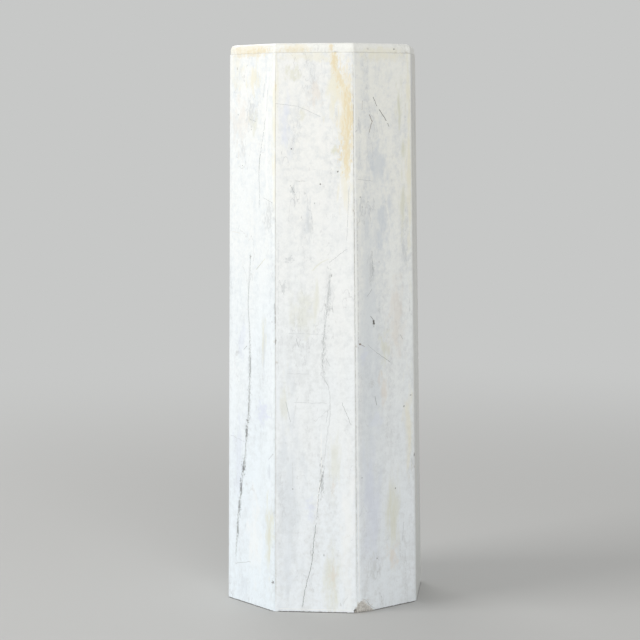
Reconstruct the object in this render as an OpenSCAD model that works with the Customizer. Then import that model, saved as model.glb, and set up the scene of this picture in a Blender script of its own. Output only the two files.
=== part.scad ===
// Octagonal marble pedestal: eight upright slabs around a hollow shaft that
// narrows slightly upwards, closed by one octagonal top slab with a rounded
// upper edge. Millimetres, +Z up, the origin on the floor below the middle.
// The front slab faces -Y.

/* [Overall] */
// Height of the whole pedestal
height = 914; // [600:1:1200]
// Width at the floor across the front and back slabs, and across the left and right ones
width_bottom = 315; // [280:1:380]
// The same width just under the top slab
width_top = 294; // [260:1:360]
// Width at the floor across two opposite slabs of the four between those
diagonal_bottom = 323; // [290:1:390]
// The same width just under the top slab
diagonal_top = 297; // [270:1:370]

/* [Side slabs] */
// Thickness of each side slab
wall = 15; // [10:0.5:25]
// Width of the bevel along each arris at the floor
arris_bottom = 7; // [2:0.5:12]
// Width of the bevel along each arris under the top slab
arris_top = 3; // [1:0.5:12]

/* [Top slab] */
// Thickness of the top slab
top_thick = 15; // [10:0.5:30]
// Radius of its rounded upper edge
top_round = 9; // [1:0.5:9.5]
// How far its sides stand back from the faces of the side slabs
top_inset = 1.2; // [0:0.1:5]

/* [Damage] */
// Height of the chip at the right foot of the front slab
chip_height = 8; // [1:0.5:20]
// Width of that chip along the foot
chip_width = 5; // [1:0.5:20]
// Depth of that chip
chip_depth = 4; // [1:0.5:10]
// Height of the spalled corner at the left foot of the front right slab
spall_height = 23; // [5:0.5:60]
// Width of the spalled corner along the foot
spall_width = 29; // [5:0.5:60]
// Depth of the spalled corner
spall_depth = 5; // [1:0.5:10]

/* [Hidden] */

sides = 8;
turn = 360 / sides;
half_turn = turn / 2;

side_height = height - top_thick;

// Distance of a slab's face from the axis at foot and head: for the slabs that
// face the front, back, left and right, and for the four between them
main_reach = [width_bottom / 2, width_top / 2];
between_reach = [diagonal_bottom / 2, diagonal_top / 2];

// How far a bevel's two edges lie from the sharp arris that it takes off
foot_setback = arris_bottom / 2 / cos(half_turn);
head_setback = arris_top / 2 / cos(half_turn);

// Large enough to hold any cut, at any size
big = 2 * (height + width_bottom + width_top);
// The full circle that a rounded edge is a quarter of is drawn with this many sides
round_fn = 64;

// Along the slab's own face, along the next slab's face, and towards the axis
along_own = [-1, 0, 0];
along_next = [cos(turn), sin(turn), 0];
inward = [-sin(half_turn), cos(half_turn), 0];

marble_white = [0.93, 0.92, 0.89];
marble_cream = [0.92, 0.90, 0.84];
marble_grey = [0.84, 0.85, 0.86];
marble_stained = [0.93, 0.90, 0.82];

// Everything beyond the plane through three points, on the side from which
// they run anticlockwise
module beyond(a, b, c) {
    normal = cross(b - a, c - a) / norm(cross(b - a, c - a));
    rotate([0, acos(normal.z), atan2(normal.y, normal.x)])
        translate([-big / 2, -big / 2, normal * a])
            cube([big, big, big / 2]);
}

// A flat plate of the slab's thickness that leans inwards, facing -Y
module leaning_plate(reach) {
    lean = atan((reach[0] - reach[1]) / side_height);
    translate([0, -reach[0], 0])
        rotate([-lean, 0, 0])
            translate([-big / 4, 0, -height / 4])
                cube([big / 2, wall, height * 1.5]);
}

// Where the face of a slab that faces -Y meets the face of the next one on its
// right, as a sharp arris, from the distance of both faces from the axis
function arris(own, next, up) = [(next - own * cos(turn)) / sin(turn), -own, up];
function foot_arris(own, next) = arris(own[0], next[0], 0);
function head_arris(own, next) = arris(own[1], next[1], side_height);

// The joint at the right end lies along the edge of the bevel that is nearer
// to the slab without bevels, and runs from there towards the axis
module beyond_right_joint(own, next, along) {
    foot = foot_arris(own, next) + foot_setback * along;
    head = head_arris(own, next) + head_setback * along;
    beyond(foot, foot + inward, head);
}

// The bevel takes off the sharp arris at the right end
module beyond_right_bevel(own, next) {
    beyond(
        foot_arris(own, next) + foot_setback * along_own,
        foot_arris(own, next) + foot_setback * along_next,
        head_arris(own, next) + head_setback * along_own
    );
}

// A corner broken off at the right foot, from that corner upwards, along the
// foot and towards the axis
module beyond_right_break(corner, up, across, deep) {
    beyond(
        corner + [0, 0, up],
        corner + across * along_own,
        corner + deep * inward
    );
}

// One side slab, facing -Y, between its two joints. The four slabs between the
// main ones carry the bevels of all the arrises.
module side_slab(bevelled) {
    own = bevelled ? between_reach : main_reach;
    next = bevelled ? main_reach : between_reach;
    along = bevelled ? along_next : along_own;
    difference() {
        intersection() {
            leaning_plate(own);
            translate([-big / 2, -big / 2, 0])
                cube([big, big, side_height]);
        }
        for (end = [0, 1])
            mirror([end, 0, 0]) {
                beyond_right_joint(own, next, along);
                if (bevelled)
                    beyond_right_bevel(own, next);
            }
    }
}

// Section through the top slab, with its two upper corners rounded
module top_section(reach) {
    centre = reach - top_round;
    translate([-reach, 0])
        square([2 * reach, top_thick - top_round]);
    translate([-centre, 0])
        square([2 * centre, top_thick]);
    for (end = [-1, 1])
        translate([end * centre, top_thick - top_round])
            circle(r = top_round, $fn = round_fn);
}

module top_slab() {
    color(marble_stained)
        translate([0, 0, side_height])
            intersection_for (i = [0 : sides / 2 - 1])
                rotate([0, 0, i * turn])
                    rotate([90, 0, 0])
                        linear_extrude(height = 2 * width_top, center = true)
                            top_section((i % 2 == 0 ? main_reach : between_reach)[1] - top_inset);
}

module front_slab() {
    color(marble_white)
        difference() {
            side_slab(bevelled = false);
            beyond_right_break(
                foot_arris(main_reach, between_reach) + foot_setback * along_own,
                chip_height, chip_width, chip_depth
            );
        }
}

module front_right_slab() {
    color(marble_grey)
        rotate([0, 0, turn])
            difference() {
                side_slab(bevelled = true);
                mirror([1, 0, 0])
                    beyond_right_break(
                        foot_arris(between_reach, main_reach),
                        spall_height, spall_width, spall_depth
                    );
            }
}

module right_slab() {
    color(marble_cream)
        rotate([0, 0, 2 * turn])
            side_slab(bevelled = false);
}

module back_right_slab() {
    color(marble_white)
        rotate([0, 0, 3 * turn])
            side_slab(bevelled = true);
}

module back_slab() {
    color(marble_cream)
        rotate([0, 0, 4 * turn])
            side_slab(bevelled = false);
}

module back_left_slab() {
    color(marble_grey)
        rotate([0, 0, 5 * turn])
            side_slab(bevelled = true);
}

module left_slab() {
    color(marble_cream)
        rotate([0, 0, 6 * turn])
            side_slab(bevelled = false);
}

module front_left_slab() {
    color(marble_white)
        rotate([0, 0, 7 * turn])
            side_slab(bevelled = true);
}

top_slab();
front_slab();
front_right_slab();
right_slab();
back_right_slab();
back_slab();
back_left_slab();
left_slab();
front_left_slab();
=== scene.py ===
import math
import random

import bmesh
import bpy
from mathutils import Matrix, Vector, noise


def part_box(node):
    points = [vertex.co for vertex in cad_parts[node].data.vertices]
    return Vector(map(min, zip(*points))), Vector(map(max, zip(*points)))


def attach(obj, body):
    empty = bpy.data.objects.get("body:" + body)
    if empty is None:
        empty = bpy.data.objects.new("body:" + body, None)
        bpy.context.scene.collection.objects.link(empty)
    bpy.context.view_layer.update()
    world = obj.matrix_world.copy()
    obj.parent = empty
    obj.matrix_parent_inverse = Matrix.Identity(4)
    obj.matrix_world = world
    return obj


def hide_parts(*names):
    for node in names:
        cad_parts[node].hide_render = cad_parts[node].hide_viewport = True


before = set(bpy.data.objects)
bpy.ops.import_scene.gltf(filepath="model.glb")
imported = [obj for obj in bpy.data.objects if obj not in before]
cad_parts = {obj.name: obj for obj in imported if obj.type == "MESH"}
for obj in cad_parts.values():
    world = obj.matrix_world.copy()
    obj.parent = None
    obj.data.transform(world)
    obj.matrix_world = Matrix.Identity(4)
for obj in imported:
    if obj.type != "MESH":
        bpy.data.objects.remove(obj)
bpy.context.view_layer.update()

# ---------------------------------------------------------------- sizes, in metres
MM = 0.001
FOOT, HEAD = (corner.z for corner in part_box("front_slab"))
TOP_LOW, TOP_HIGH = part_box("top_slab")
WALL = 15 * MM

SIDES = 8
TURN = math.radians(360 / SIDES)
# The slabs in the order that they stand, anticlockwise from the front one
SLABS = (
    "front_slab",
    "front_right_slab",
    "right_slab",
    "back_right_slab",
    "back_slab",
    "back_left_slab",
    "left_slab",
    "front_left_slab",
)

# The top slab's rounded upper edge, mitres and lower edge, and the side slabs' edges
TOP_ROUND = 9 * MM
TOP_CORNER = 1.2 * MM
TOP_LOWER_ROUND = 0.4 * MM
ARRIS_ROUND = 0.7 * MM

# How closely the side slabs and the top slab are cut across, for points to move
ROW_STEP = 3.0 * MM
COLUMN_STEP = 4.0 * MM
TOP_ROW_STEP = 2.5 * MM
TOP_COLUMN_STEP = 5.0 * MM

# The side slabs' slow waves, the wear along their arrises and the roughness of a broken corner
WAVE_DEPTH = 0.25 * MM
WAVE_LENGTH = 90 * MM
WEAR_DEPTH = 0.5 * MM
WEAR_LENGTH = 9 * MM
WEAR_REACH = 8 * MM
BREAK_DEPTH = 0.9 * MM
BREAK_GRAIN = (5 * MM, 1.7 * MM)
# How far from the plane and the middle of a broken corner's facet its points may lie
FACET_NEAR = 0.3 * MM
FACET_REACH = 40 * MM

MERGE_DISTANCE = 1e-6
NEAR = 0.01 * MM
FLAT_ANGLE = math.radians(0.2)
SMOOTH_ANGLE = math.radians(32)


# ---------------------------------------------------------------- node helpers
def put(tree, socket, value):
    """Links value to the socket if it is a socket, and otherwise sets it."""
    if isinstance(value, bpy.types.NodeSocket):
        tree.links.new(value, socket)
    else:
        socket.default_value = value


def add(tree, kind, inputs=(), **settings):
    """A new node, with its settings and the values or links of its inputs."""
    made = tree.nodes.new(kind)
    for key, value in settings.items():
        setattr(made, key, value)
    for name, value in dict(inputs).items():
        put(tree, made.inputs[name], value)
    return made


def calc(tree, operation, *values):
    made = add(tree, "ShaderNodeMath", operation=operation)
    for socket, value in zip(made.inputs, values):
        put(tree, socket, value)
    return made.outputs[0]


def times(tree, first, *others):
    """The product of two or more values."""
    for value in others:
        first = calc(tree, "MULTIPLY", first, value)
    return first


def vector_calc(tree, operation, *values):
    made = add(tree, "ShaderNodeVectorMath", operation=operation)
    for socket, value in zip(made.inputs, values):
        put(tree, socket, value)
    return made.outputs["Value" if operation == "LENGTH" else "Vector"]


def ramp(tree, value, low, high):
    """A smooth step from 0 at low to 1 at high, which may run either way."""
    inputs = {"Value": value, "From Min": low, "From Max": high}
    return add(tree, "ShaderNodeMapRange", inputs, interpolation_type="SMOOTHSTEP").outputs["Result"]


def mix(tree, factor, first, second, blend="MIX"):
    made = add(tree, "ShaderNodeMix", data_type="RGBA", blend_type=blend)
    for index, value in ((0, factor), (6, first), (7, second)):
        put(tree, made.inputs[index], value)
    return made.outputs[2]


def cloud(tree, place, scale, detail, rough):
    """Noise in space, about 0.5."""
    inputs = {"Vector": place, "Scale": scale, "Detail": detail, "Roughness": rough}
    return add(tree, "ShaderNodeTexNoise", inputs).outputs["Fac"]


def drawn_out(tree, place, share):
    """Place with less height, so that a pattern on it is drawn out upright."""
    return vector_calc(tree, "MULTIPLY", place, (1.0, 1.0, share))


def wobble(tree, along, detail=2.0):
    """Noise along one line, about 0.5."""
    inputs = {"W": along, "Scale": 1.0, "Detail": detail, "Roughness": 0.55}
    return add(tree, "ShaderNodeTexNoise", inputs, noise_dimensions="1D").outputs["Fac"]


def start_group(name, inputs, outputs):
    """A node group with named inputs and their defaults, and its two end nodes' sockets."""
    group = bpy.data.node_groups.new(name, "ShaderNodeTree")
    for label, kind, default in inputs:
        socket = group.interface.new_socket(label, in_out="INPUT", socket_type="NodeSocket" + kind)
        if default is not None:
            socket.default_value = default
    for label, kind in outputs:
        group.interface.new_socket(label, in_out="OUTPUT", socket_type="NodeSocket" + kind)
    entry = group.nodes.new("NodeGroupInput").outputs
    leave = group.nodes.new("NodeGroupOutput").inputs
    return group, entry, leave


def tone(red, green, blue):
    """A colour given as it looks on a screen, from 0 to 255."""
    return tuple(
        part / 12.92 if part <= 0.04045 else ((part + 0.055) / 1.055) ** 2.4
        for part in (red / 255, green / 255, blue / 255)
    ) + (1.0,)


# ---------------------------------------------------------------- shared effects
def make_straight():
    """Distance from a straight line on a slab's face, and the way along it."""
    group, entry, leave = start_group(
        "straight line",
        [
            ("Place", "Vector", None),
            ("Start X", "Float", 0.0),
            ("Start Z", "Float", 0.0),
            ("End X", "Float", 0.0),
            ("End Z", "Float", 100.0),
        ],
        [("Across", "Float"), ("Along", "Float"), ("Length", "Float")],
    )
    parts = add(group, "ShaderNodeSeparateXYZ", {"Vector": entry["Place"]}).outputs
    run_x = calc(group, "SUBTRACT", entry["End X"], entry["Start X"])
    run_z = calc(group, "SUBTRACT", entry["End Z"], entry["Start Z"])
    squares = calc(group, "ADD", times(group, run_x, run_x), times(group, run_z, run_z))
    length = calc(group, "SQRT", squares)
    from_x = calc(group, "SUBTRACT", parts["X"], entry["Start X"])
    from_z = calc(group, "SUBTRACT", parts["Z"], entry["Start Z"])
    along = calc(group, "ADD", times(group, from_x, run_x), times(group, from_z, run_z))
    across = calc(group, "SUBTRACT", times(group, from_x, run_z), times(group, from_z, run_x))
    put(group, leave["Across"], calc(group, "DIVIDE", across, length))
    put(group, leave["Along"], calc(group, "DIVIDE", along, length))
    put(group, leave["Length"], length)
    return group


def make_stroke():
    """A line that wanders, swells and breaks off, such as a vein or a crack."""
    group, entry, leave = start_group(
        "stroke",
        [
            ("Across", "Float", 0.0),
            ("Along", "Float", 0.0),
            ("Start", "Float", 0.0),
            ("End", "Float", 100.0),
            ("Width", "Float", 1.0),
            ("Soft", "Float", 0.4),
            ("Wander", "Float", 1.0),
            ("Wander Length", "Float", 20.0),
            ("Gaps", "Float", 0.0),
            ("Seed", "Float", 0.0),
        ],
        [("Mask", "Float")],
    )
    steps = calc(group, "DIVIDE", entry["Along"], entry["Wander Length"])
    way = calc(group, "ADD", steps, entry["Seed"])
    shift = calc(group, "SUBTRACT", wobble(group, way, 5.0), 0.5)
    shift = times(group, shift, 2.0, entry["Wander"])
    away = calc(group, "ABSOLUTE", calc(group, "ADD", entry["Across"], shift))
    swell = wobble(group, calc(group, "MULTIPLY_ADD", way, 3.1, 17.0), 3.0)
    half = times(group, entry["Width"], calc(group, "MULTIPLY_ADD", swell, 0.7, 0.15))
    body = ramp(group, away, half, times(group, half, entry["Soft"]))
    rest = wobble(group, calc(group, "MULTIPLY_ADD", way, 1.7, 51.0))
    least = times(group, entry["Gaps"], 0.7)
    shown = ramp(group, rest, least, calc(group, "ADD", least, 0.12))
    past_start = calc(group, "SUBTRACT", entry["Along"], entry["Start"])
    part = calc(group, "DIVIDE", past_start, calc(group, "SUBTRACT", entry["End"], entry["Start"]))
    ends = times(group, ramp(group, part, 0.0, 0.06), ramp(group, part, 1.0, 0.94))
    put(group, leave["Mask"], times(group, body, shown, ends))
    return group


def make_patch():
    """A soft blot in a box round a centre, made ragged by a noise about zero."""
    group, entry, leave = start_group(
        "patch",
        [
            ("Place", "Vector", None),
            ("Centre", "Vector", (0.0, 0.0, 0.0)),
            ("Reach", "Vector", (10.0, 10.0, 10.0)),
            ("Rough", "Float", 0.0),
            ("Ragged", "Float", 0.3),
            ("Edge", "Float", 0.35),
        ],
        [("Mask", "Float")],
    )
    away = vector_calc(group, "SUBTRACT", entry["Place"], entry["Centre"])
    away = vector_calc(group, "LENGTH", vector_calc(group, "DIVIDE", away, entry["Reach"]))
    far = calc(group, "MULTIPLY_ADD", entry["Rough"], entry["Ragged"], away)
    put(group, leave["Mask"], ramp(group, far, 1.0, entry["Edge"]))
    return group


def make_marble():
    """Clouded stone: two tints, one at the head and one at the foot, with soft upright clouding, fine
    mottling, hair veins, wisps, flecks and small pits."""
    group, entry, leave = start_group(
        "marble",
        [
            ("Place", "Vector", None),
            ("Head", "Color", (0.85, 0.85, 0.83, 1.0)),
            ("Foot", "Color", (0.80, 0.82, 0.84, 1.0)),
            ("Cloud", "Color", (0.70, 0.72, 0.73, 1.0)),
            ("Vein", "Color", (0.45, 0.45, 0.45, 1.0)),
            ("Cloudy", "Float", 0.65),
            ("Veined", "Float", 0.4),
            ("Wispy", "Float", 0.35),
            ("Flecked", "Float", 0.3),
            ("Height", "Float", 900.0),
            ("Seed", "Float", 0.0),
        ],
        [("Color", "Color"), ("Fine", "Float"), ("Pits", "Float")],
    )
    offset = add(group, "ShaderNodeCombineXYZ", {"X": times(group, entry["Seed"], 137.0)})
    place = vector_calc(group, "ADD", entry["Place"], offset.outputs[0])
    upright = drawn_out(group, place, 0.16)
    upright_fine = drawn_out(group, place, 0.5)
    streaks = cloud(group, upright, 0.05, 4.0, 0.55)
    broad = cloud(group, drawn_out(group, place, 0.35), 0.017, 2.0, 0.5)
    mottle = cloud(group, place, 0.11, 4.0, 0.62)
    fine = cloud(group, drawn_out(group, place, 0.7), 0.3, 5.0, 0.68)

    height = add(group, "ShaderNodeSeparateXYZ", {"Vector": entry["Place"]}).outputs["Z"]
    rise = calc(group, "DIVIDE", height, entry["Height"])
    rise = calc(group, "ADD", rise, calc(group, "MULTIPLY_ADD", broad, 0.5, -0.25))
    body = mix(group, ramp(group, rise, 0.0, 1.0), entry["Foot"], entry["Head"])
    veil = calc(group, "MULTIPLY_ADD", mottle, 0.6, times(group, streaks, 0.4))
    veil = ramp(group, veil, 0.42, 0.66)
    body = mix(group, times(group, veil, entry["Cloudy"]), body, entry["Cloud"])
    shade = calc(group, "MULTIPLY_ADD", fine, 0.2, 0.9)
    grey = add(group, "ShaderNodeCombineColor", {"Red": shade, "Green": shade, "Blue": shade})
    body = mix(group, 1.0, body, grey.outputs[0], "MULTIPLY")

    # Hair veins lie where a slow noise crosses its middle value
    warped = drawn_out(group, place, 0.38)
    crossing = calc(group, "SUBTRACT", cloud(group, warped, 0.021, 5.0, 0.5), 0.5)
    threads = ramp(group, calc(group, "ABSOLUTE", crossing), 0.006, 0.001)
    patchy = ramp(group, cloud(group, place, 0.013, 2.0, 0.5), 0.50, 0.62)
    threads = times(group, threads, patchy, entry["Veined"])
    body = mix(group, threads, body, entry["Vein"])

    # Wisps are short, ragged and upright, and come and go
    drawn = drawn_out(group, place, 0.3)
    folded = calc(group, "SUBTRACT", cloud(group, drawn, 0.085, 6.0, 0.62), 0.5)
    wisps = ramp(group, calc(group, "ABSOLUTE", folded), 0.02, 0.002)
    loose = ramp(group, cloud(group, upright, 0.05, 3.0, 0.6), 0.5, 0.68)
    wisps = times(group, wisps, loose, entry["Wispy"])
    body = mix(group, wisps, body, entry["Vein"])

    # Short grey flecks gather in loose groups
    flecks = ramp(group, cloud(group, upright_fine, 0.19, 3.0, 0.6), 0.60, 0.72)
    gathered = ramp(group, cloud(group, upright_fine, 0.03, 3.0, 0.6), 0.46, 0.66)
    flecks = times(group, flecks, gathered, entry["Flecked"])
    body = mix(group, flecks, body, entry["Vein"])

    cells = add(group, "ShaderNodeTexVoronoi", {"Vector": place, "Scale": 0.075, "Randomness": 1.0})
    pick = add(group, "ShaderNodeSeparateColor", {"Color": cells.outputs["Color"]}).outputs
    size = times(group, ramp(group, pick["Red"], 0.62, 1.0), 0.075)
    pits = ramp(group, cells.outputs["Distance"], size, times(group, size, 0.3))
    pits = times(group, pits, ramp(group, pick["Green"], 0.2, 0.9))
    put(group, leave["Color"], mix(group, times(group, pits, 0.55), body, entry["Vein"]))
    put(group, leave["Fine"], fine)
    put(group, leave["Pits"], pits)
    return group


STRAIGHT = make_straight()
STROKE = make_stroke()
PATCH = make_patch()
MARBLE = make_marble()


def use(tree, group, inputs):
    """The outputs of a shared effect, placed in a material with its own values."""
    return add(tree, "ShaderNodeGroup", inputs, node_tree=group).outputs


# ---------------------------------------------------------------- marks on a slab, in millimetres
# Across is measured from the slab's middle, to the right of someone facing it, and up from its foot.

# A reach that goes right through a slab
ENDLESS = 10000


def line(start, end, width=0.8, wander=1.0, length=20.0, gaps=0.0, soft=0.4, strength=1.0):
    """A straight mark from start to end."""
    return {
        "kind": "line",
        "points": (start, end),
        "width": width,
        "wander": wander,
        "length": length,
        "gaps": gaps,
        "soft": soft,
        "strength": strength,
    }


def route(*points, **looks):
    """A mark that runs down through points, each lower than the one before."""
    return {**line(points[0], points[-1], **looks), "kind": "route", "points": points}


def patch(centre, reach, ragged, grain, edge, strength, streak=1):
    """A soft patch with its own reach each way. streak draws its grain out upright."""
    return {
        "kind": "patch",
        "centre": centre,
        "reach": reach,
        "ragged": ragged,
        "grain": (grain, grain, grain * streak),
        "edge": edge,
        "strength": strength,
    }


def blot(across, up, half_width, half_height, ragged, grain, edge, strength, streak=1):
    """A soft patch that goes right through the slab's thickness."""
    return patch((across, 0, up), (half_width, ENDLESS, half_height), ragged, grain, edge, strength, streak)


def stain(across, up, half_width, half_height, strength, ragged=0.9, grain=9, streak=1):
    """A soft patch that fades all the way from its middle to its edge."""
    return blot(across, up, half_width, half_height, ragged, grain, 0.0, strength, streak)


def speck(across, up, half_width, half_height, strength, ragged=0.5, edge=0.4):
    """A small patch with a fine grain and a clear edge, such as a pit."""
    return blot(across, up, half_width, half_height, ragged, 2, edge, strength)


def crumbs(across, up, half_width, half_height, strength, ragged=1.6, grain=1.6, streak=2):
    """A group of tiny specks, as along a dark vein."""
    return blot(across, up, half_width, half_height, ragged, grain, 0.3, strength, streak)


def hair(start, end, strength, width=0.8, wander=1.0, length=8, gaps=0.0):
    """A short straight line."""
    return line(start, end, width, wander, length, gaps, strength=strength)


def layer(colour, *marks, depth=0):
    """Marks of one colour, and how deep they are cut, in millimetres."""
    return colour, marks, depth


def route_curve(tree, height, points):
    """How far across a route lies at each height."""
    low, high = points[-1][1], points[0][1]
    left = min(point[0] for point in points)
    span = max(max(point[0] for point in points) - left, 1.0)
    made = tree.nodes.new("ShaderNodeFloatCurve")
    curve = made.mapping.curves[0]
    curve.points[0].location = (0.0, (points[-1][0] - left) / span)
    curve.points[-1].location = (1.0, (points[0][0] - left) / span)
    for across, up in points[1:-1]:
        curve.points.new((up - low) / (high - low), (across - left) / span)
    made.mapping.update()
    rise = calc(tree, "DIVIDE", calc(tree, "SUBTRACT", height, low), high - low)
    put(tree, made.inputs["Value"], rise)
    return calc(tree, "MULTIPLY_ADD", made.outputs[0], span, left)


def rough_noise(tree, place, grain, seed, made):
    """Noise about zero with a grain of its own each way, made once for each grain of a material."""
    if grain not in made:
        spot = vector_calc(tree, "ADD", vector_calc(tree, "DIVIDE", place, grain), (seed, seed, seed))
        made[grain] = calc(tree, "MULTIPLY_ADD", cloud(tree, spot, 1.0, 3.0, 0.6), 3.2, -1.6)
    return made[grain]


def mark_mask(tree, place, mark, seed, noises):
    """The mask of one mark, from 0 to its strength."""
    if mark["kind"] == "patch":
        inputs = {
            "Place": place,
            "Centre": mark["centre"],
            "Reach": mark["reach"],
            "Rough": rough_noise(tree, place, mark["grain"], seed, noises),
            "Ragged": mark["ragged"],
            "Edge": mark["edge"],
        }
        return times(tree, use(tree, PATCH, inputs)["Mask"], mark["strength"])
    points = mark["points"]
    if mark["kind"] == "route":
        parts = add(tree, "ShaderNodeSeparateXYZ", {"Vector": place}).outputs
        across = calc(tree, "SUBTRACT", parts["X"], route_curve(tree, parts["Z"], points))
        along, begin, end = parts["Z"], points[-1][1], points[0][1]
    else:
        (start_x, start_z), (end_x, end_z) = points
        found = use(
            tree,
            STRAIGHT,
            {"Place": place, "Start X": start_x, "Start Z": start_z, "End X": end_x, "End Z": end_z},
        )
        across, along, begin, end = found["Across"], found["Along"], 0.0, found["Length"]
    inputs = {
        "Across": across,
        "Along": along,
        "Start": begin,
        "End": end,
        "Width": mark["width"],
        "Soft": mark["soft"],
        "Wander": mark["wander"],
        "Wander Length": mark["length"],
        "Gaps": mark["gaps"],
        "Seed": seed,
    }
    return times(tree, use(tree, STROKE, inputs)["Mask"], mark["strength"])


def layer_mask(tree, place, marks, seed, noises):
    """The masks of several marks, the strongest at each point."""
    whole = None
    for number, mark in enumerate(marks):
        mask = mark_mask(tree, place, mark, seed + 3.7 * number, noises)
        whole = mask if whole is None else calc(tree, "MAXIMUM", whole, mask)
    return whole


# ---------------------------------------------------------------- colours
CRACK = tone(92, 88, 84)
RUST = tone(112, 84, 66)
VEIN = tone(158, 160, 160)
DARK_VEIN = tone(104, 106, 106)
HALO = tone(212, 215, 215)
OCHRE = tone(234, 220, 185)
GOLD = tone(240, 231, 205)
CREAM = tone(241, 237, 217)
OLIVE = tone(224, 224, 206)
LAVENDER = tone(223, 228, 241)
SHADE = tone(210, 216, 222)
BRIGHT = tone(250, 251, 249)
GRIME = tone(160, 154, 142)
PINK = tone(229, 219, 206)
BROKEN = tone(220, 217, 210)
BROKEN_DARK = tone(182, 178, 171)


def stone_material(name, turn, stone, layers, seed):
    """Marble for one slab. layers holds (colour, marks, depth of the marks in mm)."""
    material = bpy.data.materials.new(name)
    material.use_nodes = True
    tree = material.node_tree
    tree.nodes.clear()
    space = add(tree, "ShaderNodeTexCoord").outputs["Object"]
    inputs = {"Vector": space, "Rotation": (0.0, 0.0, -turn), "Scale": (1 / MM, 1 / MM, 1 / MM)}
    place = add(tree, "ShaderNodeMapping", inputs).outputs[0]
    body = use(tree, MARBLE, {"Place": place, "Seed": seed, **stone})
    colour = body["Color"]
    height = times(tree, body["Fine"], 0.05)
    height = calc(tree, "SUBTRACT", height, times(tree, body["Pits"], 0.3))
    worn = calc(tree, "MULTIPLY_ADD", body["Pits"], 0.3, 0.36)
    noises = {}
    for number, (tint, marks, depth) in enumerate(layers):
        mask = layer_mask(tree, place, marks, seed + 11.3 * number, noises)
        colour = mix(tree, mask, colour, tint)
        if depth:
            height = calc(tree, "SUBTRACT", height, times(tree, mask, depth))
            worn = calc(tree, "MULTIPLY_ADD", mask, 0.3, worn)
    chipped = add(tree, "ShaderNodeAttribute", attribute_name="broken").outputs["Fac"]
    rough = cloud(tree, place, 0.35, 4.0, 0.7)
    bare = mix(tree, ramp(tree, rough, 0.62, 0.40), BROKEN, BROKEN_DARK)
    colour = mix(tree, times(tree, chipped, 0.85), colour, bare)
    grit = times(tree, rough, chipped)
    height = calc(tree, "MULTIPLY_ADD", grit, 1.4, height)
    worn = calc(tree, "MULTIPLY_ADD", chipped, 0.4, worn)
    bump = add(
        tree,
        "ShaderNodeBump",
        {"Height": times(tree, height, MM), "Strength": 0.6, "Distance": 1.0},
    )
    shader = add(
        tree,
        "ShaderNodeBsdfPrincipled",
        {
            "Base Color": colour,
            "Roughness": calc(tree, "MINIMUM", worn, 0.9),
            "Normal": bump.outputs[0],
            "IOR": 1.5,
            "Specular IOR Level": 0.35,
        },
    )
    output = add(tree, "ShaderNodeOutputMaterial")
    tree.links.new(shader.outputs[0], output.inputs["Surface"])
    return material


# ---------------------------------------------------------------- meshes
def along_slab(turn):
    """Unit vectors along a slab's face, and out of it."""
    return Vector((math.cos(turn), math.sin(turn), 0)), Vector((math.sin(turn), -math.cos(turn), 0))


def cut_rows(bm, direction, first, last, step):
    """Cuts the whole mesh by parallel planes, to give it points to move."""
    count = round((last - first) / step)
    for index in range(1, count):
        bmesh.ops.bisect_plane(
            bm,
            geom=bm.verts[:] + bm.edges[:] + bm.faces[:],
            dist=MERGE_DISTANCE,
            plane_co=direction * (first + (last - first) * index / count),
            plane_no=direction,
        )


def merged_copy(name):
    """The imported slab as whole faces, not triangles."""
    bm = bmesh.new()
    bm.from_mesh(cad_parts[name].data)
    bmesh.ops.remove_doubles(bm, verts=bm.verts, dist=MERGE_DISTANCE)
    bmesh.ops.dissolve_limit(bm, angle_limit=FLAT_ANGLE, verts=bm.verts, edges=bm.edges)
    return bm


def round_edges(bm, edges, offset, segments):
    bmesh.ops.bevel(
        bm,
        geom=edges,
        affect="EDGES",
        offset=offset,
        segments=segments,
        profile=0.5,
        material=-1,
        clamp_overlap=True,
    )


def finish_piece(bm, name, material):
    """Turns the bmesh into a piece that rides on the root and stands for the CAD node of its name."""
    bmesh.ops.recalc_face_normals(bm, faces=bm.faces)
    mesh = bpy.data.meshes.new(name + "_stone")
    bm.to_mesh(mesh)
    bm.free()
    for polygon in mesh.polygons:
        polygon.use_smooth = True
    mesh.set_sharp_from_angle(angle=SMOOTH_ANGLE)
    piece = bpy.data.objects.new(name + "_stone", mesh)
    bpy.context.collection.objects.link(piece)
    mesh.materials.append(material)
    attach(piece, "root")
    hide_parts(name)


def wear(point, length, seed):
    """Slow noise from -1 to 1 that differs from slab to slab."""
    return noise.noise((point + Vector((seed, seed * 0.7, seed * 1.3))) / length)


def nick(bm, broken, centre, radius, push, seed):
    """Moves the points round centre by up to push, raggedly, and marks them as broken."""
    for vert in bm.verts:
        far = (vert.co - centre).length / radius
        if far > 1.4:
            continue
        far += 0.35 * wear(vert.co, radius * 0.6, seed)
        if far < 1.0:
            fall = (1.0 - max(far, 0.0)) ** 0.7
            vert.co += push * fall
            vert[broken] = max(vert[broken], min(1.0, fall * 1.6))


def reach_at(name, direction, height):
    """How far a node reaches in a direction at one of its levels."""
    points = [vert.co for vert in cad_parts[name].data.vertices if abs(vert.co.z - height) < 1 * MM]
    return max(point.dot(direction) for point in points)


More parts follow.
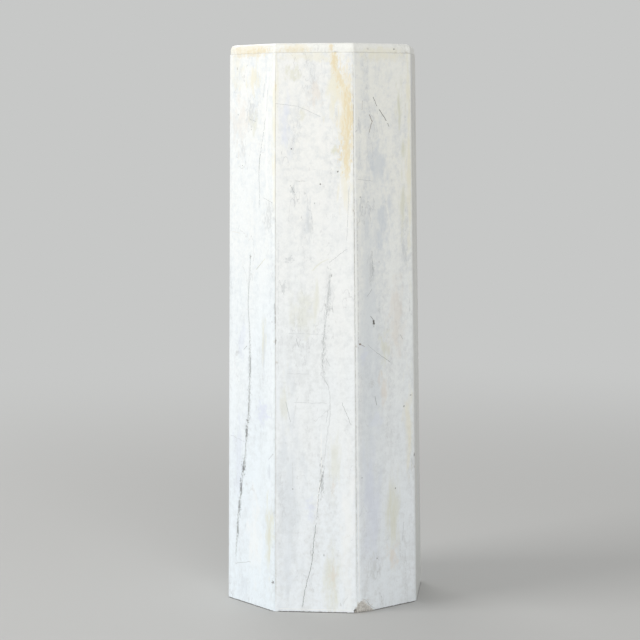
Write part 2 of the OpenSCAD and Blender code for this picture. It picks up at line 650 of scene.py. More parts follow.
def side_slab(name, material, chips=(), seed=0.0):
    """One upright slab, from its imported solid: its edges slightly rounded, its face a little uneven,
    its arrises worn and chipped. chips holds (side, up, radius, depth) in millimetres."""
    across, outward = along_slab(TURN * SLABS.index(name))
    foot, head = (reach_at(name, outward, height) for height in (FOOT, HEAD))
    bm = merged_copy(name)
    broken = bm.verts.layers.float.new("broken")
    breaks = [(face.calc_center_median(), face.normal.copy()) for face in bm.faces if is_break(face)]
    round_edges(bm, bm.edges[:], ARRIS_ROUND, 2)
    cut_rows(bm, Vector((0, 0, 1)), FOOT, HEAD, ROW_STEP)
    half = max(abs(vert.co.dot(across)) for vert in bm.verts)
    cut_rows(bm, across, -half, half, COLUMN_STEP)
    for centre, normal in breaks:
        roughen_break(bm, broken, centre, normal, seed)
    for vert in bm.verts:
        face_reach = foot + (head - foot) * (vert.co.z - FOOT) / (HEAD - FOOT)
        if vert.co.dot(outward) < face_reach - WALL / 2:
            continue
        push = WAVE_DEPTH * (0.5 + 0.5 * wear(vert.co, WAVE_LENGTH, seed))
        if half - abs(vert.co.dot(across)) < WEAR_REACH:
            push += WEAR_DEPTH * max(0.0, wear(vert.co, WEAR_LENGTH, seed + 5.0) - 0.25)
        vert.co -= outward * push
    for side, up, radius, depth in chips:
        corner = corner_at(bm, across * side, outward, up * MM)
        push = -(outward + across * side * 0.5).normalized()
        nick(bm, broken, corner, radius * MM, push * depth * MM, seed + up)
    finish_piece(bm, name, material)


def is_break(face):
    """True for the sloping facet of a broken corner, which is neither upright nor level."""
    return 0.1 < abs(face.normal.z) < 0.9


def roughen_break(bm, broken, centre, normal, seed):
    """Sinks the facet of a broken corner into the slab, raggedly, and marks it as broken."""

    def lies_on_facet(point):
        return abs((point - centre).dot(normal)) < FACET_NEAR and (point - centre).length < FACET_REACH

    facet = [
        face
        for face in bm.faces
        if face.normal.dot(normal) > 0.95 and lies_on_facet(face.calc_center_median())
    ]
    edges = list({edge for face in facet for edge in face.edges})
    bmesh.ops.subdivide_edges(bm, edges=edges, cuts=2, use_grid_fill=True)
    for vert in bm.verts:
        if lies_on_facet(vert.co):
            coarse, fine = (wear(vert.co, grain, seed) for grain in BREAK_GRAIN)
            rough = 0.6 + 0.9 * coarse + 0.5 * fine
            vert.co -= normal * max(rough, 0.0) * BREAK_DEPTH
            vert[broken] = 1.0


def corner_at(bm, across, outward, height):
    """The outermost point of a slab's face at one end and height."""
    near = [vert.co for vert in bm.verts if abs(vert.co.z - height) < 2 * ROW_STEP]
    return max(near, key=lambda point: point.dot(outward) + point.dot(across)).copy()


def edges_where(bm, test, least_angle):
    """The creases of the mesh whose two ends and angle pass."""
    return [
        edge
        for edge in bm.edges
        if len(edge.link_faces) == 2
        and edge.calc_face_angle(0.0) > math.radians(least_angle)
        and test(*(vert.co for vert in edge.verts))
    ]


def top_slab(material, seed):
    """The top slab: a square block with its corners cut off, its upper edge rounded to a quarter circle,
    and its mitres and lower edge slightly rounded."""
    straight, slanted = (reach_at("top_slab", along_slab(turn)[1], TOP_LOW.z) for turn in (0, TURN))
    middle = (TOP_LOW.z + TOP_HIGH.z) / 2
    size = Matrix.Diagonal((2 * straight, 2 * straight, TOP_HIGH.z - TOP_LOW.z, 1))
    bm = bmesh.new()
    broken = bm.verts.layers.float.new("broken")
    bmesh.ops.create_cube(bm, size=1.0, matrix=Matrix.Translation((0, 0, middle)) @ size)
    upright = edges_where(bm, lambda a, b: abs(a.z - b.z) > MM, 40)
    corner_cut = 2 * straight - slanted / math.cos(TURN)
    round_edges(bm, upright, corner_cut, 1)
    rim = edges_where(bm, lambda a, b: a.z > middle and b.z > middle, 40)
    round_edges(bm, rim, TOP_ROUND, 10)
    mitres = [edge for edge in edges_where(bm, lambda a, b: abs(a.z - b.z) > NEAR, 3) if is_mitre(edge)]
    round_edges(bm, mitres, TOP_CORNER, 2)
    lower = edges_where(bm, lambda a, b: max(a.z, b.z) < TOP_LOW.z + NEAR, 40)
    round_edges(bm, lower, TOP_LOWER_ROUND, 2)
    for direction in (Vector((1, 0, 0)), Vector((0, 1, 0))):
        cut_rows(bm, direction, -straight, straight, TOP_COLUMN_STEP)
    cut_rows(bm, Vector((0, 0, 1)), TOP_LOW.z, TOP_HIGH.z - TOP_ROUND, TOP_ROW_STEP)
    for degrees, up, radius, depth in TOP_CHIPS:
        turn = math.radians(degrees)
        side = round(turn / TURN)
        reach = slanted if side % 2 else straight
        _, out = along_slab(turn)
        place = out * reach / math.cos(turn - side * TURN) + Vector((0, 0, TOP_LOW.z + up * MM))
        nick(bm, broken, place, radius * MM, -out * depth * MM, seed + degrees)
    finish_piece(bm, "top_slab", material)


def is_mitre(edge):
    """True for an edge between two sides, whose faces look different ways round the axis."""
    first, second = (Vector(face.normal.xy) for face in edge.link_faces)
    return min(first.length, second.length) > 0.01 and first.angle(second) > math.radians(20)


# Chips on the top slab's side: degrees round from the front, height on it, radius and depth in mm
TOP_CHIPS = (
    (-38, 1.0, 2.2, 0.7),
    (14, 0.5, 2.0, 0.6),
    (33, 6.0, 1.8, 1.2),
    (64, 0.5, 3.0, 0.8),
    (118, 1.0, 2.5, 0.8),
    (171, 0.5, 3.5, 1.0),
    (243, 0.8, 2.5, 0.8),
    (290, 4.0, 2.0, 0.8),
)

# Chips at the slabs' ends: side, height, radius and depth in mm
SLAB_CHIPS = {
    "front_slab": ((-1, 412, 2.5, 0.8), (1, 655, 2.0, 0.7), (1, 6, 3.0, 1.0)),
    "front_right_slab": ((-1, 440, 2.2, 0.8), (1, 230, 2.5, 1.0)),
    "right_slab": ((1, 5, 6.0, 2.0), (-1, 610, 2.5, 1.0)),
    "back_right_slab": ((-1, 300, 3.0, 1.2), (1, 720, 2.5, 1.0)),
    "back_slab": ((-1, 4, 7.0, 2.5), (1, 505, 2.5, 1.0)),
    "back_left_slab": ((1, 150, 3.0, 1.2),),
    "left_slab": ((-1, 4, 5.0, 2.0), (1, 820, 2.0, 1.0)),
    "front_left_slab": ((1, 444, 2.5, 0.9), (-1, 95, 2.5, 1.0)),
}


# ---------------------------------------------------------------- the slabs' marks
def half_widths(name):
    """Half a slab's width at its foot and head, and the heights of both, in millimetres."""
    across, _ = along_slab(TURN * SLABS.index(name))
    foot, head = (reach_at(name, across, height) / MM for height in (FOOT, HEAD))
    return foot, head, FOOT / MM, HEAD / MM


def joint_lines(name, strengths=(0.4, 0.4), width=1.5):
    """The dirt in the joints at a slab's left and right ends, and under the top slab."""
    foot, head, low, high = half_widths(name)
    joint = {"width": width, "wander": 0.3, "length": 30.0, "gaps": 0.2}
    return (
        line((-foot, low), (-head, high), strength=strengths[0], **joint),
        line((foot, low), (head, high), strength=strengths[1], **joint),
        line((-foot, high - 0.5), (foot, high - 0.5), width=1.2, wander=0.3, length=25.0, gaps=0.3,
             strength=0.15),
    )


def foot_dirt_and_shadow(name):
    """The dark line along a slab's foot: partly dirt, partly painted contact shadow of the gap under the
    slab.
    """
    foot, _, _, _ = half_widths(name)
    return line((-foot, 0.4), (foot, 0.4), width=2.2, wander=0.5, length=14.0, soft=0.6, strength=0.9)


def bevel_highlights(name, strength=0.75):
    """Painted highlights along the bevels at both ends of a slab that carries them, standing for light
    reflected off their polished edges.
    """
    foot, head, low, high = half_widths(name)
    bevel = {"width": 1.5, "wander": 0.5, "length": 20.0, "gaps": 0.15, "strength": strength}
    return (
        line((-foot + 3.2, low), (-head + 1.6, high), **bevel),
        line((foot - 3.2, low), (head - 1.6, high), **bevel),
    )


FRONT_LAYERS = (
    layer(
        CREAM,
        stain(33, 840, 17, 72, 0.8, streak=4),
        stain(-61, 850, 7, 75, 0.6, grain=8, streak=5),
        stain(50, 690, 14, 60, 0.6, ragged=1.0, grain=8, streak=5),
        stain(0, 893, 66, 12, 0.5, grain=12),
    ),
    layer(
        OLIVE,
        stain(32, 745, 7, 12, 0.9, ragged=0.8, grain=6, streak=2),
        stain(-34, 868, 18, 16, 0.6, ragged=1.0, grain=7, streak=2),
        stain(-20, 803, 10, 14, 0.5, grain=7, streak=2),
        stain(2, 503, 7, 54, 0.5, ragged=0.6, grain=7, streak=5),
        route((24, 574), (8, 566), (-4, 554), width=6.0, wander=2.0, soft=0.0, strength=0.5),
        stain(-20, 492, 28, 50, 0.35, ragged=0.8, grain=12, streak=2),
        stain(30, 245, 12, 66, 0.4, ragged=0.7, grain=8, streak=5),
        stain(26, 55, 18, 66, 0.6, ragged=0.6, grain=8, streak=4),
        stain(-50, 350, 10, 60, 0.4, ragged=1.0, grain=10, streak=3),
    ),
    layer(
        GOLD,
        route((29, 903), (33, 880), (38, 864), (46, 845), (51, 820), (52, 790), (51, 755), (51, 725),
              (54, 695), width=11.0, wander=3.0, length=16, strength=0.85),
        blot(50, 800, 16, 84, ragged=0.7, grain=4, streak=5, edge=0.2, strength=0.85),
        blot(33, 882, 9, 24, ragged=0.8, grain=4, streak=3, edge=0.2, strength=0.7),
    ),
    layer(
        OCHRE,
        stain(32, 886, 7, 22, 0.85, ragged=1.5, grain=2.5, streak=3),
        stain(41, 858, 8, 20, 0.75, ragged=1.5, grain=2.5, streak=3),
        stain(55, 800, 10, 62, 0.95, ragged=1.5, grain=2.5, streak=4),
        stain(50, 745, 11, 38, 0.75, ragged=1.7, grain=2.5, streak=3),
        route((30, 895), (36, 868), (45, 850), (52, 815), (55, 780), (52, 745), (55, 705), width=3.0,
              wander=6.0, length=8, gaps=0.45, soft=0.0, strength=0.35),
        blot(-62, 846, 3, 11, ragged=0.6, grain=5, edge=0.1, strength=0.6),
    ),
    layer(
        PINK,
        stain(0, 835, 14, 30, 0.4, ragged=1.0, grain=8, streak=2),
        stain(28, 60, 8, 22, 0.4, ragged=1.0, grain=6, streak=2),
        stain(30, 205, 6, 18, 0.35, ragged=0.8, grain=6, streak=2),
    ),
    layer(
        SHADE,
        stain(-42, 180, 30, 250, 0.35, grain=16, streak=4),
        stain(-11, 640, 7, 50, 0.4, grain=7, streak=4),
    ),
    layer(
        LAVENDER,
        stain(-8, 170, 12, 27, 0.6, ragged=0.8),
        stain(-46, 780, 12, 60, 0.5, grain=10, streak=3),
    ),
    layer(
        BRIGHT,
        route((10, 300), (9, 270), (10, 240), (5, 200), (1, 160), width=2.6, wander=3.0, length=5, gaps=0.4,
              soft=0.2, strength=0.9),
        # A painted highlight along the foot arris, where light catches the slab's lower edge
        hair((-64, 5), (64, 5), 0.8, width=1.5, wander=0.3, length=20, gaps=0.1),
        stain(46, 520, 14, 70, 0.4, grain=10, streak=3),
        stain(52, 150, 20, 190, 0.6, ragged=0.6, grain=10, streak=4),
    ),
    layer(
        HALO,
        blot(-50, 528, 5, 14, ragged=1.1, grain=3, streak=2, edge=0.2, strength=0.7),
        blot(-41, 573, 9, 7, ragged=1.2, grain=3, edge=0.2, strength=0.8),
        blot(-35, 683, 6, 11, ragged=1.2, grain=3, streak=2, edge=0.2, strength=0.9),
        stain(-8, 640, 5, 45, 0.6, ragged=1.1, grain=4, streak=3),
        route((-58, 610), (-59, 500), (-60, 380), width=2.5, wander=2.0, length=9, gaps=0.5, soft=0.0,
              strength=0.4),
        hair((-44, 454), (18, 453), 0.9, width=1.0, wander=1.5, length=14, gaps=0.35),
        hair((-46, 389), (-8, 389), 0.9, width=1.0, wander=1.2, length=12, gaps=0.3),
        hair((-36, 343), (20, 342), 0.9, width=1.1, wander=1.5, length=14, gaps=0.3),
        hair((-37, 246), (-37, 204), 0.8, width=1.2, wander=1.2, length=9, gaps=0.35),
        route((26, 556), (20, 505), (14, 450), (12, 410), (20, 370), (24, 340), (20, 300), (13, 240),
              width=2.6, wander=2.5, length=12, gaps=0.35, soft=0.0, strength=0.7),
    ),
    layer(
        VEIN,
        route((27, 556), (24, 540), (21, 510), (18, 480), (14, 450), (13, 420), (11, 400), (8, 380),
              wander=1.8, length=7, gaps=0.55, strength=0.75),
        crumbs(22, 520, 4, 34, 0.3, ragged=2.2, grain=2, streak=3),
        crumbs(14, 430, 4, 40, 0.3, ragged=2.2, grain=2, streak=3),
        crumbs(10, 218, 3.5, 26, 0.5, ragged=2.0, grain=2, streak=3),
        hair((10, 388), (23, 366), 0.7, wander=1.5, length=6, gaps=0.3),
        hair((17, 415), (24, 401), 0.6, wander=1.5, length=5),
        hair((23, 340), (17, 310), 0.6, wander=1.8, gaps=0.3),
        route((14, 235), (9, 215), (5, 195), (3, 170), (1, 150), width=1.0, wander=1.6, length=5, gaps=0.5,
              strength=0.9),
        hair((-66, 820), (-26, 815), 0.75, width=0.6, length=10, gaps=0.3),
        hair((-26, 815), (11, 798), 0.75, width=0.6, length=10, gaps=0.3),
        hair((22, 567), (52, 590), 0.8, width=0.7, wander=1.8, gaps=0.35),
        hair((55, 690), (51, 600), 0.7, width=0.7, length=12, gaps=0.45),
        hair((-48, 345), (-40, 310), 0.8, gaps=0.3),
        hair((-31, 447), (-26, 431), 0.7, wander=1.2, length=6),
        hair((-57, 540), (-50, 515), 0.7, width=0.7, wander=1.6, length=6, gaps=0.3),
    ),
    layer(
        DARK_VEIN,
        route((1, 150), (-3, 120), (-7, 80), (-12, 60), (-17, 40), (-23, 4), width=1.2, wander=1.6,
              length=8, gaps=0.25, strength=0.8),
        route((13, 232), (10, 218), (6, 200), width=0.9, wander=1.4, length=5, gaps=0.4, strength=0.6),
        depth=0.1,
    ),
    layer(
        CRACK,
        hair((42, 345), (58, 306), 0.65, width=0.7, wander=1.2, length=7, gaps=0.25),
        hair((-31, 697), (-14, 697), 0.6, width=0.7, wander=0.8, length=5, gaps=0.35),
        hair((-39, 691), (-32, 678), 0.6, wander=1.5, length=4, gaps=0.35),
        speck(-37, 748, 1.5, 1.4, 0.85),
        speck(37, 712, 1.7, 1.7, 0.85),
        speck(9, 692, 1.9, 1.4, 0.8, ragged=0.6),
        speck(0, 662, 1.0, 2.0, 0.45, edge=0.3),
        speck(27, 547, 1.3, 3.5, 0.5, ragged=0.9, edge=0.3),
        speck(-37, 202, 1.4, 1.4, 0.7),
        speck(13, 95, 1.3, 2.6, 0.45, ragged=0.7, edge=0.3),
        blot(-64, 440, 1.6, 6.0, ragged=0.8, grain=3, edge=0.3, strength=0.8),
        # Painted shadow in the chipped corner at the right foot
        blot(65, 2, 4.5, 7.0, ragged=0.4, grain=3, edge=0.6, strength=1.0),
        foot_dirt_and_shadow("front_slab"),
        depth=0.4,
    ),
    layer(GRIME, *joint_lines("front_slab", (0.35, 0.3)), depth=0.2),
)

FRONT_LEFT_LAYERS = (
    layer(
        CREAM,
        stain(4, 862, 22, 34, 0.8, ragged=1.0, grain=8, streak=3),
        stain(60, 770, 8, 130, 0.8, grain=8, streak=5),
        stain(-40, 870, 26, 40, 0.4, ragged=1.0, grain=12, streak=2),
    ),
    layer(
        PINK,
        stain(-30, 790, 30, 55, 0.3, ragged=1.0, grain=12, streak=2),
        line((-52, 612), (-28, 610), width=1.4, length=10, gaps=0.2, soft=0.0, strength=0.5),
    ),
    layer(
        OCHRE,
        blot(61, 849, 3, 8, ragged=0.6, grain=4, edge=0.1, strength=0.7),
        stain(-6, 897, 60, 5, 0.5, ragged=1.1, grain=6),
    ),
    layer(
        OLIVE,
        stain(50, 130, 12, 75, 0.8, streak=4),
        stain(35, 440, 7, 62, 0.6, ragged=0.8, grain=8, streak=4),
        line((13, 553), (38, 573), width=2.0, wander=1.2, length=8, soft=0.0, strength=0.7),
        stain(4, 790, 15, 30, 0.5, ragged=1.1, grain=7, streak=2),
    ),
    layer(
        LAVENDER,
        stain(32, 322, 24, 26, 0.7),
        stain(-34, 240, 20, 90, 0.35, grain=12, streak=2),
        stain(-24, 430, 16, 40, 0.35, streak=2),
    ),
    layer(
        SHADE,
        stain(36, 430, 4, 65, 0.4, grain=6, streak=5),
        stain(50, 232, 5, 24, 0.45, grain=6, streak=3),
        stain(-20, 30, 26, 26, 0.35, ragged=1.0, streak=2),
    ),
    layer(
        BRIGHT,
        route((44, 872), (39, 835), (36, 806), width=6.5, wander=2.5, soft=0.3, strength=0.9),
        route((42, 810), (40, 770), (40, 720), (42, 675), width=9.0, wander=3.0, length=30, soft=0.2,
              strength=0.7),
        stain(12, 110, 24, 100, 0.5, ragged=0.8, grain=12, streak=3),
    ),
    layer(
        HALO,
        route((-2, 577), (-7, 500), (-3, 430), (-3, 360), (-8, 300), (-17, 235), (-26, 185), (-34, 140),
              (-38, 100), (-42, 60), width=4.5, wander=2.0, length=12, gaps=0.2, soft=0.0, strength=0.7),
        hair((-15, 487), (8, 489), 0.8, width=0.9, length=10, gaps=0.3),
        stain(-2, 805, 14, 30, 0.7, ragged=1.3, grain=4, streak=2),
        stain(-24, 745, 10, 20, 0.5, ragged=1.3, grain=4, streak=2),
        stain(46, 640, 16, 26, 0.6, ragged=1.4, grain=4, streak=2),
    ),
    layer(
        VEIN,
        route((34, 852), (31, 828), width=1.0, length=6, gaps=0.2, strength=0.7),
        route((42, 842), (39, 806), length=6, gaps=0.4, strength=0.6),
        route((37, 800), (31, 770), (26, 750), (21, 725), (20, 700), (22, 688), (20, 650), width=1.0,
              wander=1.4, length=8, gaps=0.45, strength=0.9),
        route((-2, 577), (-3, 545), (-6, 520), (-8, 495), (-7, 480), (-3, 450), (-3, 420), (-1, 400),
              (-3, 380), (-3, 350), (-6, 330), (-8, 310), width=1.1, wander=1.8, length=7, gaps=0.45,
              strength=0.9),
        crumbs(-3, 395, 4, 36, 0.5, ragged=2.0),
        crumbs(-5, 335, 4, 28, 0.55, ragged=2.0),
        hair((-6, 795), (12, 791), 0.7, width=0.7),
        hair((31, 670), (57, 662), 0.75, width=0.7, wander=1.2, gaps=0.2),
        hair((13, 553), (27, 564), 0.7, wander=1.2, length=6, gaps=0.2),
        hair((-43, 61), (3, 72), 0.8, wander=1.6, gaps=0.3),
        hair((-56, 275), (-14, 268), 0.7, width=0.6, wander=1.6, gaps=0.4),
        hair((48, 248), (60, 258), 0.7, width=0.9, length=6),
    ),
    layer(
        DARK_VEIN,
        route((-8, 296), (-13, 275), (-14, 255), (-17, 235), (-23, 215), (-22, 205), (-27, 185), (-28, 160),
              (-35, 143), (-33, 120), (-37, 100), (-40, 65), width=1.0, wander=4.0, length=5, gaps=0.5,
              strength=0.85),
        crumbs(-11, 285, 4, 14, 0.8),
        crumbs(-19, 226, 5, 14, 0.85, ragged=1.7),
        crumbs(-26, 190, 4, 15, 0.8),
        crumbs(-30, 158, 4, 14, 0.75),
        crumbs(-35, 122, 3, 16, 0.7),
        route((-10, 296), (-13, 265), (-12, 250), (-17, 228), (-26, 205), (-24, 185), (-31, 165),
              (-32, 130), (-37, 90), width=0.7, wander=4.5, length=4, gaps=0.4, strength=0.8),
        route((24, 740), (21, 725), (20, 712), width=1.1, wander=0.8, length=6, strength=0.8),
        route((-3, 410), (-1, 398), (-3, 376), width=1.5, wander=1.4, length=5, gaps=0.25, strength=0.7),
        route((-5, 330), (-8, 308), width=1.5, wander=1.4, length=5, gaps=0.2, strength=0.7),
        depth=0.2,
    ),
    layer(
        CRACK,
        hair((-20, 420), (-10, 428), 0.65, width=0.9, length=4),
        speck(-8, 304, 3.4, 5.0, 0.75, ragged=1.2, edge=0.2),
        speck(-2, 573, 2.6, 3.6, 0.6, ragged=1.1, edge=0.2),
        speck(-39, 876, 1.0, 3.6, 0.6, ragged=0.8, edge=0.3),
        speck(-36, 802, 1.6, 1.2, 0.6, ragged=0.7),
        speck(-24, 720, 1.9, 1.0, 0.55, ragged=0.7),
        speck(-1, 778, 1.4, 1.2, 0.5, ragged=0.7),
        speck(56, 472, 1.5, 1.5, 0.6),
        route((61, 505), (62, 470), (63, 435), (62, 415), width=1.0, wander=0.8, length=8, gaps=0.45,
              strength=0.7),
        speck(60, 48, 2.5, 3.0, 0.7, ragged=0.9),
        foot_dirt_and_shadow("front_left_slab"),
        depth=0.4,
    ),
    layer(GRIME, *joint_lines("front_left_slab", (0.3, 0.3)), depth=0.2),
)

FRONT_RIGHT_LAYERS = (
    layer(
        SHADE,
        stain(-34, 440, 40, 430, 0.5, ragged=0.5, grain=18, streak=4),
        blot(-12, 722, 32, 42, ragged=0.6, grain=12, streak=2, edge=0.2, strength=0.6),
        stain(-6, 620, 24, 60, 0.7, grain=12, streak=2),
        stain(12, 660, 10, 34, 0.5, streak=2),
    ),
    layer(
        CREAM,
        stain(0, 895, 70, 14, 0.6, ragged=0.8, grain=12),
        stain(54, 720, 9, 200, 0.8, streak=5),
        stain(48, 300, 14, 90, 0.6, grain=10, streak=4),
    ),
    layer(
        OLIVE,
        stain(34, 815, 10, 46, 0.95, ragged=0.8, grain=7, streak=5),
        stain(42, 750, 6, 30, 0.8, ragged=0.8, grain=7, streak=5),
        stain(40, 655, 9, 62, 0.75, ragged=0.8, grain=8, streak=5),
        stain(-2, 428, 15, 38, 0.6, streak=2),
        stain(11, 150, 20, 100, 0.75, ragged=0.5, streak=5),
    ),
    layer(
        PINK,
        stain(24, 475, 26, 90, 0.4, ragged=0.6, grain=12, streak=2),
        stain(-4, 360, 14, 34, 0.5, streak=2),
        stain(10, 85, 15, 26, 0.5, streak=2),
    ),
    layer(
        LAVENDER,
        stain(-34, 170, 30, 150, 0.5, ragged=0.5, grain=14, streak=4),
        stain(-20, 310, 20, 24, 0.35, ragged=0.8, grain=12),
        stain(-45, 420, 12, 18, 0.4, ragged=0.8, grain=8),
    ),
    layer(
        BRIGHT,
        route((-10, 771), (0, 766), (12, 760), width=2.4, wander=2.0, length=8, soft=0.0, strength=0.5),
        # Painted highlights along the bevels at both ends of the slab
        *bevel_highlights("front_right_slab", 0.85),
    ),
    layer(
        HALO,
        route((50, 737), (47, 715), width=0.9, length=8, strength=0.7),
        stain(-30, 555, 9, 30, 0.9, ragged=1.2, grain=4, streak=3),
        blot(-13, 490, 4, 7, ragged=1.1, grain=3, edge=0.2, strength=0.9),
        blot(-30, 372, 7, 8, ragged=1.2, grain=3, edge=0.2, strength=0.8),
        stain(40, 580, 7, 24, 0.8, ragged=1.2, grain=4, streak=3),
        stain(-46, 650, 8, 26, 0.8, ragged=1.3, grain=4, streak=3),
        stain(-30, 75, 16, 26, 0.6, ragged=1.2, grain=5, streak=2),
    ),
    layer(
        RUST,
        hair((-29, 802), (-23, 789), 0.8, width=1.7, wander=1.4, length=5),
        hair((-24, 790), (-30, 773), 0.75, width=1.4, wander=1.4, length=5, gaps=0.2),
        hair((-43, 824), (-44, 808), 0.6, length=5, gaps=0.3),
        blot(-54, 437, 3.0, 2.4, ragged=0.9, grain=3, edge=0.3, strength=0.85),
        hair((-54, 437), (-43, 432), 0.7, width=0.9, length=5),
        hair((-57, 420), (-56, 640), 0.45, wander=0.8, length=9, gaps=0.55),
        depth=0.2,
    ),
    layer(
        VEIN,
        hair((-38, 435), (-21, 422), 0.75, width=0.7, wander=1.2, length=7, gaps=0.35),
        hair((-21, 422), (11, 402), 0.9, width=0.9, wander=1.4, length=7, gaps=0.2),
        hair((-27, 586), (-26, 553), 0.85, width=1.1, wander=2.0, length=7, gaps=0.25),
        hair((-22, 560), (-31, 535), 0.75, width=0.9, wander=2.0, length=6, gaps=0.3),
        hair((-38, 512), (-27, 524), 0.8, width=0.9, wander=1.6, length=6, gaps=0.2),
        hair((35, 138), (32, 105), 0.8, gaps=0.25),
        hair((38, 92), (37, 66), 0.6, gaps=0.35),
        hair((-56, 700), (-24, 696), 0.7, width=0.7, wander=1.2, gaps=0.4),
        hair((31, 447), (37, 438), 0.8, width=1.0, length=5),
    ),
    layer(BROKEN, blot(-57, 7, 22, 15, ragged=0.5, grain=5, edge=0.6, strength=0.75), depth=0.5),
    layer(
        CRACK,
        hair((-21, 830), (-13, 814), 0.85, width=1.3, length=5, gaps=0.3),
        hair((-9, 810), (7, 791), 0.9, width=1.6, length=6, gaps=0.1),
        hair((9, 788), (12, 782), 0.8, width=1.3, wander=0.8, length=5),
        hair((-31, 481), (-25, 473), 0.85, width=1.1, wander=0.6, length=5),
        blot(-24.5, 469, 2.6, 6.0, ragged=0.7, grain=3, edge=0.5, strength=0.95),
        hair((-24, 351), (-20, 335), 0.8, width=1.0, wander=0.8, length=6),
        speck(-50, 671, 1.4, 1.6, 0.5, ragged=0.6),
        speck(-46, 655, 2.0, 2.0, 0.5, ragged=0.9, edge=0.3),
        speck(38, 328, 1.9, 1.9, 0.65, ragged=0.6),
        speck(53, 345, 2.4, 1.2, 0.65, ragged=0.8),
        speck(-12, 566, 1.3, 1.6, 0.5, ragged=0.6),
        speck(18, 195, 1.6, 1.6, 0.7),
        speck(-23, 85, 1.5, 1.5, 0.8),
        speck(-53, 221, 1.6, 1.6, 0.6, ragged=0.8, edge=0.3),
        speck(61, 245, 3.0, 4.0, 0.6, ragged=0.8),
        # Painted shadow along the upper edge of the broken patch at the left foot, where the break steps in
        route((-60, 24), (-47, 19), (-40, 11), (-27, 2), width=1.1, wander=1.6, length=4, gaps=0.25,
              strength=0.6),
        foot_dirt_and_shadow("front_right_slab"),
        depth=0.4,
    ),
    layer(GRIME, *joint_lines("front_right_slab", (0.85, 0.6), width=1.0), depth=0.2),
)


def plain_layers(name, seed):
    """The marks of a slab on the hidden sides: a long vein, a few hairlines, pits and a soft stain."""
    pick = random.Random(seed)
    start = pick.uniform(-25, 35)
    lean = pick.uniform(-45, 25)
    path = [(start, 640 + pick.uniform(-60, 120))]
    for step in range(1, 7):
        share = step / 6
        path.append((start + lean * share + pick.uniform(-5, 5), path[0][1] * (1 - share) + 12))
    stains = [
        stain(pick.uniform(-50, 50), pick.uniform(150, 860), pick.uniform(7, 14), pick.uniform(50, 110),
              0.6, ragged=0.6, grain=14)
        for _ in range(4)
    ]
    hairs = []
    for _ in range(4):
        x, z = pick.uniform(-48, 20), pick.uniform(80, 840)
        hairs.append(
            hair((x, z), (x + pick.uniform(15, 38), z + pick.uniform(-18, 18)), 0.65, width=0.6,
                 wander=1.4, length=10, gaps=0.25)
        )
    pits = [
        speck(pick.uniform(-55, 55), pick.uniform(30, 870), 1.5, 1.6, 0.7)
        for _ in range(4)
    ]
    return (
        layer(OLIVE, *stains[:2]),
        layer(LAVENDER, *stains[2:]),
        layer(HALO, route(*path, width=5.0, wander=2.0, soft=0.0, strength=0.5)),
        layer(VEIN, route(*path, width=1.1, wander=1.8, length=15, gaps=0.45, strength=0.85), *hairs),
        layer(CRACK, *pits, depth=0.4),
        layer(CRACK, foot_dirt_and_shadow(name), depth=0.2),
        layer(GRIME, *joint_lines(name), depth=0.2),
    )


# ---------------------------------------------------------------- the side slabs
WARM = {"Head": tone(246, 246, 242), "Foot": tone(241, 246, 249), "Cloud": tone(225, 228, 228)}
COOL = {"Head": tone(246, 247, 244), "Foot": tone(238, 246, 251), "Cloud": tone(226, 232, 235)}
GREY = {"Head": tone(245, 245, 238), "Foot": tone(238, 243, 246), "Cloud": tone(221, 224, 225)}
# The right slab's stone is darker than the rest as painted shade, for that side faces away from the key
# lamp
SHADED_STONE = {"Head": tone(232, 231, 223), "Foot": tone(222, 224, 221), "Cloud": tone(206, 208, 204)}

LOOKS = {
    "front_slab": ("white_marble", WARM, FRONT_LAYERS),
    "front_right_slab": ("grey_marble", GREY, FRONT_RIGHT_LAYERS),
    "right_slab": ("cream_marble", SHADED_STONE, plain_layers("right_slab", 21)),
    "back_right_slab": ("white_marble", WARM, plain_layers("back_right_slab", 32)),
    "back_slab": ("cream_marble", COOL, plain_layers("back_slab", 43)),
    "back_left_slab": ("grey_marble", GREY, plain_layers("back_left_slab", 54)),
    "left_slab": ("cream_marble", WARM, plain_layers("left_slab", 65)),
    "front_left_slab": ("white_marble", COOL, FRONT_LEFT_LAYERS),
}

for number, (name, (slot, stone, layers)) in enumerate(LOOKS.items()):
    skin = stone_material(name + "_skin", TURN * SLABS.index(name), stone, layers, seed=3.0 + 5.0 * number)
    side_slab(name, skin, SLAB_CHIPS.get(name, ()), seed=1.0 + 7.0 * number)

# ---------------------------------------------------------------- the top slab
TOP_STONE = {"Head": tone(247, 247, 241), "Foot": tone(247, 247, 241), "Cloud": tone(234, 234, 228)}
TOP_LAYERS = (
    layer(
        GOLD,
        patch((-106, -100, 906), (80, 70, 18), 0.5, 11, 0.0, 0.6),
        patch((-34, -146, 906), (36, 16, 13), 0.6, 11, 0.0, 0.6),
        patch((60, 40, 914), (50, 30, 6), 0.9, 22, 0.0, 0.4),
        patch((-50, 90, 914), (40, 45, 12), 0.9, 22, 0.0, 0.5),
    ),
    layer(CREAM, patch((100, -105, 903), (60, 60, 8), 0.8, 9, 0.0, 0.6)),
    layer(
        OCHRE,
        patch((27, -146, 907), (6, 16, 13), 0.8, 5, 0.0, 0.8),
        patch((-92, -112, 902), (56, 52, 7), 1.1, 5, 0.0, 0.65),
        patch((-35, -147, 902), (30, 14, 6), 1.1, 5, 0.0, 0.5),
        patch((-128, -75, 905), (16, 18, 8), 1.2, 6, 0.0, 0.5),
    ),
    layer(CRACK, patch((121, -86, 905), (2.2, 2.2, 1.8), 0.5, 2, 0.4, 0.8), depth=0.4),
    layer(GRIME, patch((0, 0, 899), (ENDLESS, ENDLESS, 1.1), 0.4, 9, 0.2, 0.3), depth=0.2),
)
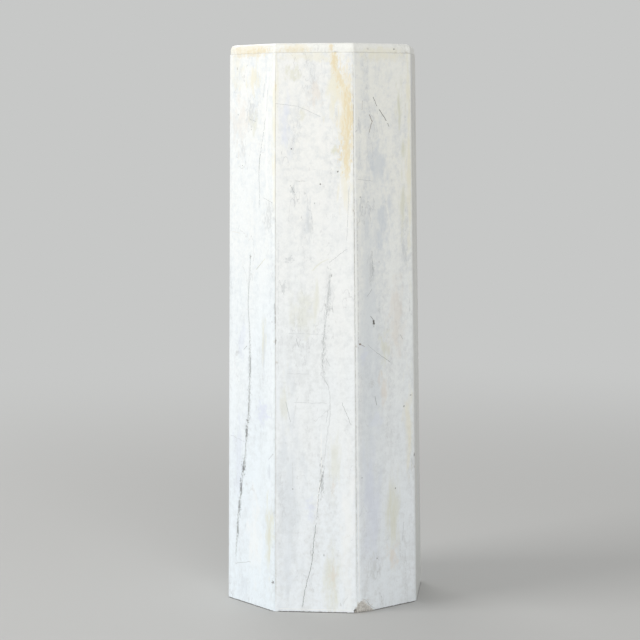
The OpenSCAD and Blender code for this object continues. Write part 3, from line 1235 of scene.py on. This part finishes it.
top_slab(stone_material("top_slab_skin", 0.0, TOP_STONE, TOP_LAYERS, seed=61.0), seed=2.0)

# ---------------------------------------------------------------- floor, light and camera
BACKGROUND = tone(199, 200, 199)
FLOOR_COLOUR = tone(196, 196, 194)
FLOOR_RADIUS = 12.0
# The distances from the pedestal between which the floor fades into the background
FADE_START, FADE_END = 0.7, 3.0
# The height that the lamps face
AIM_HEIGHT = 0.5

CAMERA_PLACE = (0.335, -3.187, 0.8095)
LENS = 108.3
# Turns of the camera in degrees: round to the left, down, and about its own line of sight
HEADING, DIP, ROLL = 6.15, 6.235, -0.264


def plain_floor():
    """A wide floor that fades into the background far from the pedestal."""
    bm = bmesh.new()
    bmesh.ops.create_circle(bm, cap_ends=True, segments=96, radius=FLOOR_RADIUS)
    mesh = bpy.data.meshes.new("floor")
    bm.to_mesh(mesh)
    bm.free()
    floor = bpy.data.objects.new("floor", mesh)
    bpy.context.collection.objects.link(floor)
    material = bpy.data.materials.new("floor_paint")
    material.use_nodes = True
    tree = material.node_tree
    tree.nodes.clear()
    spot = add(tree, "ShaderNodeTexCoord").outputs["Object"]
    far = ramp(tree, vector_calc(tree, "LENGTH", spot), FADE_START, FADE_END)
    paint = add(tree, "ShaderNodeBsdfDiffuse", {"Color": FLOOR_COLOUR})
    haze = add(tree, "ShaderNodeEmission", {"Color": BACKGROUND})
    blend = add(tree, "ShaderNodeMixShader", {0: far, 1: paint.outputs[0], 2: haze.outputs[0]})
    output = add(tree, "ShaderNodeOutputMaterial")
    tree.links.new(blend.outputs[0], output.inputs["Surface"])
    mesh.materials.append(material)


def soft_sky(strength):
    """An even pale sky that lights everything, seen as the plain background."""
    world = bpy.data.worlds.new("studio")
    world.use_nodes = True
    tree = world.node_tree
    tree.nodes.clear()
    seen = add(tree, "ShaderNodeLightPath").outputs["Is Camera Ray"]
    light = add(tree, "ShaderNodeBackground", {"Color": (1.0, 1.0, 1.0, 1.0), "Strength": strength})
    shown = add(tree, "ShaderNodeBackground", {"Color": BACKGROUND, "Strength": 1.0})
    blend = add(tree, "ShaderNodeMixShader", {0: seen, 1: light.outputs[0], 2: shown.outputs[0]})
    output = add(tree, "ShaderNodeOutputWorld")
    tree.links.new(blend.outputs[0], output.inputs["Surface"])
    bpy.context.scene.world = world


def soft_lamp(name, around, above, distance, size, power):
    """A square lamp that faces the middle of the pedestal, at an angle round from its front and above."""
    lamp = bpy.data.lights.new(name, "AREA")
    lamp.shape = "SQUARE"
    lamp.size = size
    lamp.energy = power
    holder = bpy.data.objects.new(name, lamp)
    bpy.context.collection.objects.link(holder)
    turn = Matrix.Rotation(math.radians(around), 4, "Z") @ Matrix.Rotation(math.radians(90 - above), 4, "X")
    aim, away = (Matrix.Translation((0, 0, length)) for length in (AIM_HEIGHT, distance))
    holder.matrix_world = aim @ turn @ away
    holder.visible_camera = False


def stand_camera():
    """A long lens at chest height, a little to the right of the front, tipped down."""
    data = bpy.data.cameras.new("camera")
    data.lens = LENS
    data.sensor_width = 36.0
    camera = bpy.data.objects.new("camera", data)
    bpy.context.collection.objects.link(camera)
    heading = Matrix.Rotation(math.radians(HEADING), 4, "Z")
    dip = Matrix.Rotation(math.radians(90 - DIP), 4, "X")
    roll = Matrix.Rotation(math.radians(ROLL), 4, "Z")
    camera.matrix_world = Matrix.Translation(CAMERA_PLACE) @ heading @ dip @ roll
    bpy.context.scene.camera = camera


plain_floor()
soft_sky(0.48)
soft_lamp("key", around=-65, above=23, distance=5.5, size=3.0, power=155)
soft_lamp("front_fill", around=20, above=16, distance=5.5, size=3.0, power=98)
soft_lamp("back_fill", around=205, above=30, distance=5.5, size=3.0, power=70)
soft_lamp("overhead", around=0, above=90, distance=3.5, size=2.5, power=5)
stand_camera()
bpy.context.scene.view_settings.view_transform = "Standard"
